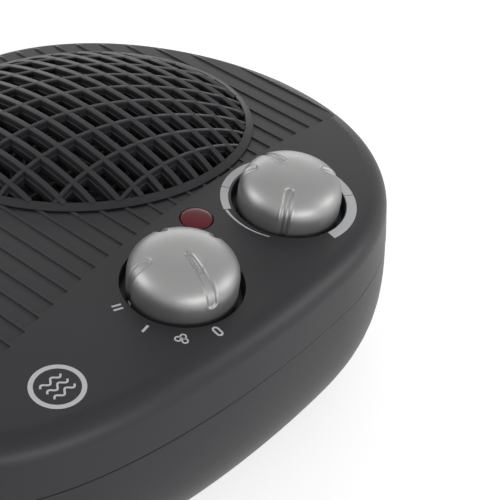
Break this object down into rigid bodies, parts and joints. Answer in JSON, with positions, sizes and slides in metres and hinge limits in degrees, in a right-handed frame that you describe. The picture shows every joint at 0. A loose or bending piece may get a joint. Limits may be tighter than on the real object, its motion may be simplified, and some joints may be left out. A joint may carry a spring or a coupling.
{
  "type": "fan heater",
  "caption": "Compact electric fan heater: oval two-shell housing with a ribbed face, domed barred grille and two turned control knobs.",
  "frame": {"origin": "middle of the outline on the plane of the flat back, with the heater lying on its back", "axes": "+X from the foot to the arched top, +Y from the controls to the far side, +Z out of the face"},
  "size_m": [0.2722, 0.2128, 0.104],
  "materials": {
    "shell_plastic": "satin charcoal moulded plastic",
    "knob_silver": "satin silver metallic finish on plastic",
    "lens_red": "dark red translucent lens",
    "inner_plastic": "dark heat-resistant plastic",
    "pale_plastic": "pale thermoset plastic",
    "lamp_glass": "small neon lamp",
    "sheet_steel": "zinc-plated steel",
    "brass": "sintered bronze bushes",
    "mica": "mica board",
    "coil_wire": "resistance wire",
    "fan_plastic": "grey moulded plastic",
    "rubber": "black rubber"
  },
  "bodies": {
    "housing": {"front_shell": "shell_plastic", "rear_shell": "shell_plastic", "front_grille": "shell_plastic", "mode_switch": "inner_plastic", "thermostat": "pale_plastic", "control_screws": "sheet_steel", "indicator_lens": "lens_red", "indicator_lamp": "lamp_glass", "air_duct": "inner_plastic", "heater_boards": "mica", "heating_coil": "coil_wire", "thermal_cutout": "sheet_steel", "thermal_fuse": "sheet_steel", "motor_case": "sheet_steel", "motor_bushes": "brass", "motor_bracket": "sheet_steel", "bracket_screws": "sheet_steel", "terminal_block": "pale_plastic", "lead_inlet": "inner_plastic", "shell_screws": "sheet_steel", "rubber_feet": "rubber"},
    "mode_dial": {"mode_knob": "knob_silver", "mode_shaft": "sheet_steel"},
    "thermostat_dial": {"thermostat_knob": "knob_silver", "thermostat_shaft": "sheet_steel"},
    "fan": {"fan_impeller": "fan_plastic", "motor_axle": "sheet_steel"}
  },
  "joints": [
    {"name": "mode_turn", "type": "hinge", "parent": "housing", "child": "mode_dial", "pos_m": [-0.00952, -0.0614, 0.0885], "axis": [0, 0, 1], "range_deg": [-84, 0]},
    {"name": "thermostat_turn", "type": "hinge", "parent": "housing", "child": "thermostat_dial", "pos_m": [0.05688, -0.0614, 0.0885], "axis": [0, 0, 1], "range_deg": [-280, 0]},
    {"name": "fan_spin", "type": "hinge", "parent": "housing", "child": "fan", "pos_m": [0.03748, 0.0293, 0.04], "axis": [0, 0, 1], "continuous": true}
  ]
}
